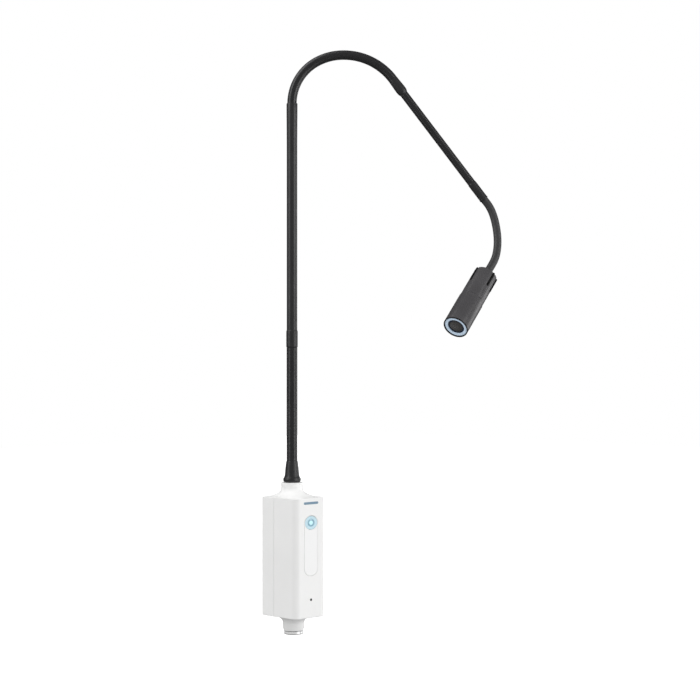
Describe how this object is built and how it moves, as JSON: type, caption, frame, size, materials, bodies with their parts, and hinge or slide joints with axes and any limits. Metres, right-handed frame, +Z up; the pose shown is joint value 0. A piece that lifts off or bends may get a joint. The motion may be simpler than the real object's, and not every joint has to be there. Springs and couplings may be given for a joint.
{
  "type": "examination lamp",
  "caption": "Gooseneck examination lamp: white control box that plugs onto a stand's post, ribbed and rigid black arm with an arch, and a cylindrical spot head with a ring light.",
  "frame": {"origin": "on the axis of the mounting socket, at the socket's lower rim", "axes": "+Z up along the socket, -Y out of the housing's front face with the button, +X to the right seen from behind it; the arm's plane is turned 44 degrees from X towards -Y"},
  "size_m": [0.2619, 0.3136, 0.9048],
  "materials": {
    "white_shell": "satin moulded white plastic with a fine texture",
    "screw_steel": "zinc plated",
    "polished_socket": "polished",
    "zinc_steel": "zinc plated sheet",
    "brass": "machined",
    "circuit_board": "green solder mask",
    "winding": "taped winding",
    "component_black": "moulded",
    "copper_winding": "enamelled wire",
    "panel_overlay": "smooth film, slightly lighter than the shell",
    "lit_button": "translucent, lit pale blue",
    "dark_window": "dark infrared window",
    "inlet_black": "moulded black",
    "pin_metal": "nickel plated",
    "gooseneck_black": "satin black wound ribs",
    "boot_rubber": "satin black",
    "coupling_black": "satin black",
    "tube_black": "smooth satin black",
    "end_flex_grey": "satin charcoal sheath",
    "head_black": "satin black",
    "heat_sink": "black anodised",
    "head_grey": "satin charcoal",
    "led_board_metal": "white solder mask on metal core",
    "led_phosphor": "phosphor under a silicone dome",
    "clear_optic": "clear moulded optic",
    "ring_light": "translucent pale-blue diffuser",
    "dark_lens": "dark coated lens"
  },
  "bodies": {
    "housing": {"housing_front": "white_shell", "housing_rear": "white_shell", "housing_screw_1": "screw_steel", "housing_screw_2": "screw_steel", "housing_screw_3": "screw_steel", "housing_screw_4": "screw_steel", "mounting_socket": "polished_socket", "chassis_bracket": "zinc_steel", "gland_nut": "brass", "power_board": "circuit_board", "transformer": "winding", "smoothing_capacitor": "component_black", "mains_choke": "copper_winding", "control_board": "circuit_board", "button_switch": "component_black", "front_overlay": "panel_overlay", "sensor_window": "dark_window", "inlet_body": "inlet_black", "inlet_pin_line": "pin_metal", "inlet_pin_earth": "pin_metal", "inlet_pin_neutral": "pin_metal", "gooseneck_root": "gooseneck_black", "base_boot": "boot_rubber"},
    "button": {"power_button": "lit_button"},
    "lower_link_1": {"lower_link_1": "gooseneck_black"},
    "lower_link_2": {"lower_link_2": "gooseneck_black"},
    "lower_link_3": {"lower_link_3": "gooseneck_black"},
    "mast": {"mid_coupling": "coupling_black", "rigid_tube": "tube_black", "arch_root": "gooseneck_black"},
    "arch_link_1": {"arch_link_1": "gooseneck_black"},
    "arch_link_2": {"arch_link_2": "gooseneck_black"},
    "arch_link_3": {"arch_link_3": "gooseneck_black"},
    "arch_link_4": {"arch_link_4": "gooseneck_black"},
    "arch_link_5": {"arch_link_5": "gooseneck_black"},
    "arch_link_6": {"arch_link_6": "gooseneck_black"},
    "arch_link_7": {"arch_link_7": "gooseneck_black"},
    "arch_link_8": {"arch_link_8": "gooseneck_black"},
    "arch_link_9": {"arch_link_9": "gooseneck_black"},
    "arch_link_10": {"arch_link_10": "gooseneck_black"},
    "slim_root": {"arch_ferrule": "coupling_black"},
    "slim_link": {"slim_link": "gooseneck_black"},
    "slim_end": {"slim_sleeve": "coupling_black"},
    "end_link_1": {"end_link_1": "end_flex_grey"},
    "end_link_2": {"end_link_2": "end_flex_grey"},
    "end_link_3": {"end_link_3": "end_flex_grey"},
    "end_link_4": {"end_link_4": "end_flex_grey"},
    "end_link_5": {"end_link_5": "end_flex_grey"},
    "head": {"head_stem": "end_flex_grey", "rear_cap": "head_black", "heat_sink": "heat_sink", "head_rear_shell": "head_grey", "led_board": "led_board_metal", "led_emitter": "led_phosphor", "collimator_optic": "clear_optic", "optic_holder": "head_black", "front_barrel": "head_grey", "light_ring": "ring_light", "centre_lens": "dark_lens", "front_bezel": "head_black"}
  },
  "joints": [
    {"name": "button_press", "type": "slide", "parent": "housing", "child": "button", "axis": [0, 1, 0], "range_m": [0, 0.0008], "stiffness_N_per_m": 2500, "springref_m": -0.0004},
    {"name": "lower_bend", "type": "hinge", "parent": "housing", "child": "lower_link_1", "pos_m": [0, 0.0036, 0.2888], "axis": [-0.6947, -0.7193, 0], "range_deg": [-30, 30]},
    {"name": "lower_sway", "type": "hinge", "parent": "lower_link_1", "child": "lower_link_2", "pos_m": [0, 0.0036, 0.3328], "axis": [-0.7193, 0.6947, 0], "range_deg": [-30, 30]},
    {"name": "lower_bend_2", "type": "hinge", "parent": "lower_link_2", "child": "lower_link_3", "pos_m": [0, 0.0036, 0.3768], "axis": [-0.6947, -0.7193, 0], "range_deg": [-30, 30]},
    {"name": "lower_sway_2", "type": "hinge", "parent": "lower_link_3", "child": "mast", "pos_m": [0, 0.0036, 0.4208], "axis": [-0.7193, 0.6947, 0], "range_deg": [-30, 30]},
    {"name": "arch_bend", "type": "hinge", "parent": "mast", "child": "arch_link_1", "pos_m": [0, 0.0036, 0.8365], "axis": [0.6947, 0.7193, 0], "range_deg": [-23.8, 4.2]},
    {"name": "arch_sway", "type": "hinge", "parent": "arch_link_1", "child": "arch_link_2", "pos_m": [0.00453, -0.00077, 0.85077], "axis": [0.6582, -0.6356, -0.4035], "range_deg": [-8, 8]},
    {"name": "arch_bend_2", "type": "hinge", "parent": "arch_link_2", "child": "arch_link_3", "pos_m": [0.00906, -0.00515, 0.86505], "axis": [0.6947, 0.7193, 0], "range_deg": [-23.8, 4.2]},
    {"name": "arch_sway_2", "type": "hinge", "parent": "arch_link_3", "child": "arch_link_4", "pos_m": [0.01734, -0.01315, 0.87557], "axis": [0.4851, -0.4684, -0.7385], "range_deg": [-8, 8]},
    {"name": "arch_bend_3", "type": "hinge", "parent": "arch_link_4", "child": "arch_link_5", "pos_m": [0.02563, -0.02115, 0.88609], "axis": [0.6947, 0.7193, 0], "range_deg": [-23.8, 4.2]},
    {"name": "arch_sway_3", "type": "hinge", "parent": "arch_link_5", "child": "arch_link_6", "pos_m": [0.03627, -0.03142, 0.89106], "axis": [0.2294, -0.2216, -0.9478], "range_deg": [-8, 8]},
    {"name": "arch_bend_4", "type": "hinge", "parent": "arch_link_6", "child": "arch_link_7", "pos_m": [0.0499, -0.04459, 0.89744], "axis": [0.6947, 0.7193, 0], "range_deg": [-23.8, 4.2]},
    {"name": "arch_sway_4", "type": "hinge", "parent": "arch_link_7", "child": "arch_link_8", "pos_m": [0.06423, -0.05842, 0.89563], "axis": [-0.0652, 0.063, -0.9959], "range_deg": [-8, 8]},
    {"name": "arch_bend_5", "type": "hinge", "parent": "arch_link_8", "child": "arch_link_9", "pos_m": [0.07856, -0.07226, 0.89382], "axis": [0.6947, 0.7193, 0], "range_deg": [-23.8, 4.2]},
    {"name": "arch_sway_5", "type": "hinge", "parent": "arch_link_9", "child": "arch_link_10", "pos_m": [0.09114, -0.08441, 0.88412], "axis": [-0.3487, 0.3368, -0.8746], "range_deg": [-8, 8]},
    {"name": "arch_bend_6", "type": "hinge", "parent": "arch_link_10", "child": "slim_root", "pos_m": [0.10372, -0.09656, 0.87442], "axis": [0.6947, 0.7193, 0], "range_deg": [-23.8, 4.2]},
    {"name": "slim_bend", "type": "hinge", "parent": "slim_root", "child": "slim_link", "pos_m": [0.14352, -0.13499, 0.80154], "axis": [0.6947, 0.7193, 0], "range_deg": [-30, 30]},
    {"name": "slim_sway", "type": "hinge", "parent": "slim_link", "child": "slim_end", "pos_m": [0.18135, -0.17153, 0.73224], "axis": [-0.573, 0.5533, -0.6046], "range_deg": [-30, 30]},
    {"name": "end_bend", "type": "hinge", "parent": "slim_end", "child": "end_link_1", "pos_m": [0.21908, -0.20797, 0.66314], "axis": [0.6947, 0.7193, 0], "range_deg": [-28, 8]},
    {"name": "end_sway", "type": "hinge", "parent": "end_link_1", "child": "end_link_2", "pos_m": [0.22363, -0.21236, 0.64259], "axis": [-0.6875, 0.6639, -0.294], "range_deg": [-43, 14]},
    {"name": "end_bend_2", "type": "hinge", "parent": "end_link_2", "child": "end_link_3", "pos_m": [0.22424, -0.22053, 0.62272], "axis": [0.7256, 0.644, -0.2425], "range_deg": [-28, 8]},
    {"name": "end_sway_2", "type": "hinge", "parent": "end_link_3", "child": "end_link_4", "pos_m": [0.21973, -0.2233, 0.60188], "axis": [-0.6554, 0.7541, 0.0416], "range_deg": [-43, 14]},
    {"name": "end_bend_3", "type": "hinge", "parent": "end_link_4", "child": "end_link_5", "pos_m": [0.21141, -0.22949, 0.58304], "axis": [0.6486, 0.5902, -0.4806], "range_deg": [-28, 8]},
    {"name": "end_sway_3", "type": "hinge", "parent": "end_link_5", "child": "head", "pos_m": [0.19876, -0.22973, 0.56566], "axis": [-0.4825, 0.8072, 0.3401], "range_deg": [-43, 14]}
  ],
  "couplings": [
    {"joint": "lower_bend_2", "follows": "lower_bend", "ratio": 1},
    {"joint": "lower_sway_2", "follows": "lower_sway", "ratio": 1},
    {"joint": "arch_bend_2", "follows": "arch_bend", "ratio": 1},
    {"joint": "arch_sway_2", "follows": "arch_sway", "ratio": 1},
    {"joint": "arch_bend_3", "follows": "arch_bend", "ratio": 1},
    {"joint": "arch_sway_3", "follows": "arch_sway", "ratio": 1},
    {"joint": "arch_bend_4", "follows": "arch_bend", "ratio": 1},
    {"joint": "arch_sway_4", "follows": "arch_sway", "ratio": 1},
    {"joint": "arch_bend_5", "follows": "arch_bend", "ratio": 1},
    {"joint": "arch_sway_5", "follows": "arch_sway", "ratio": 1},
    {"joint": "arch_bend_6", "follows": "arch_bend", "ratio": 1},
    {"joint": "end_bend_2", "follows": "end_bend", "ratio": 1},
    {"joint": "end_sway_2", "follows": "end_sway", "ratio": 1},
    {"joint": "end_bend_3", "follows": "end_bend", "ratio": 1},
    {"joint": "end_sway_3", "follows": "end_sway", "ratio": 1}
  ]
}
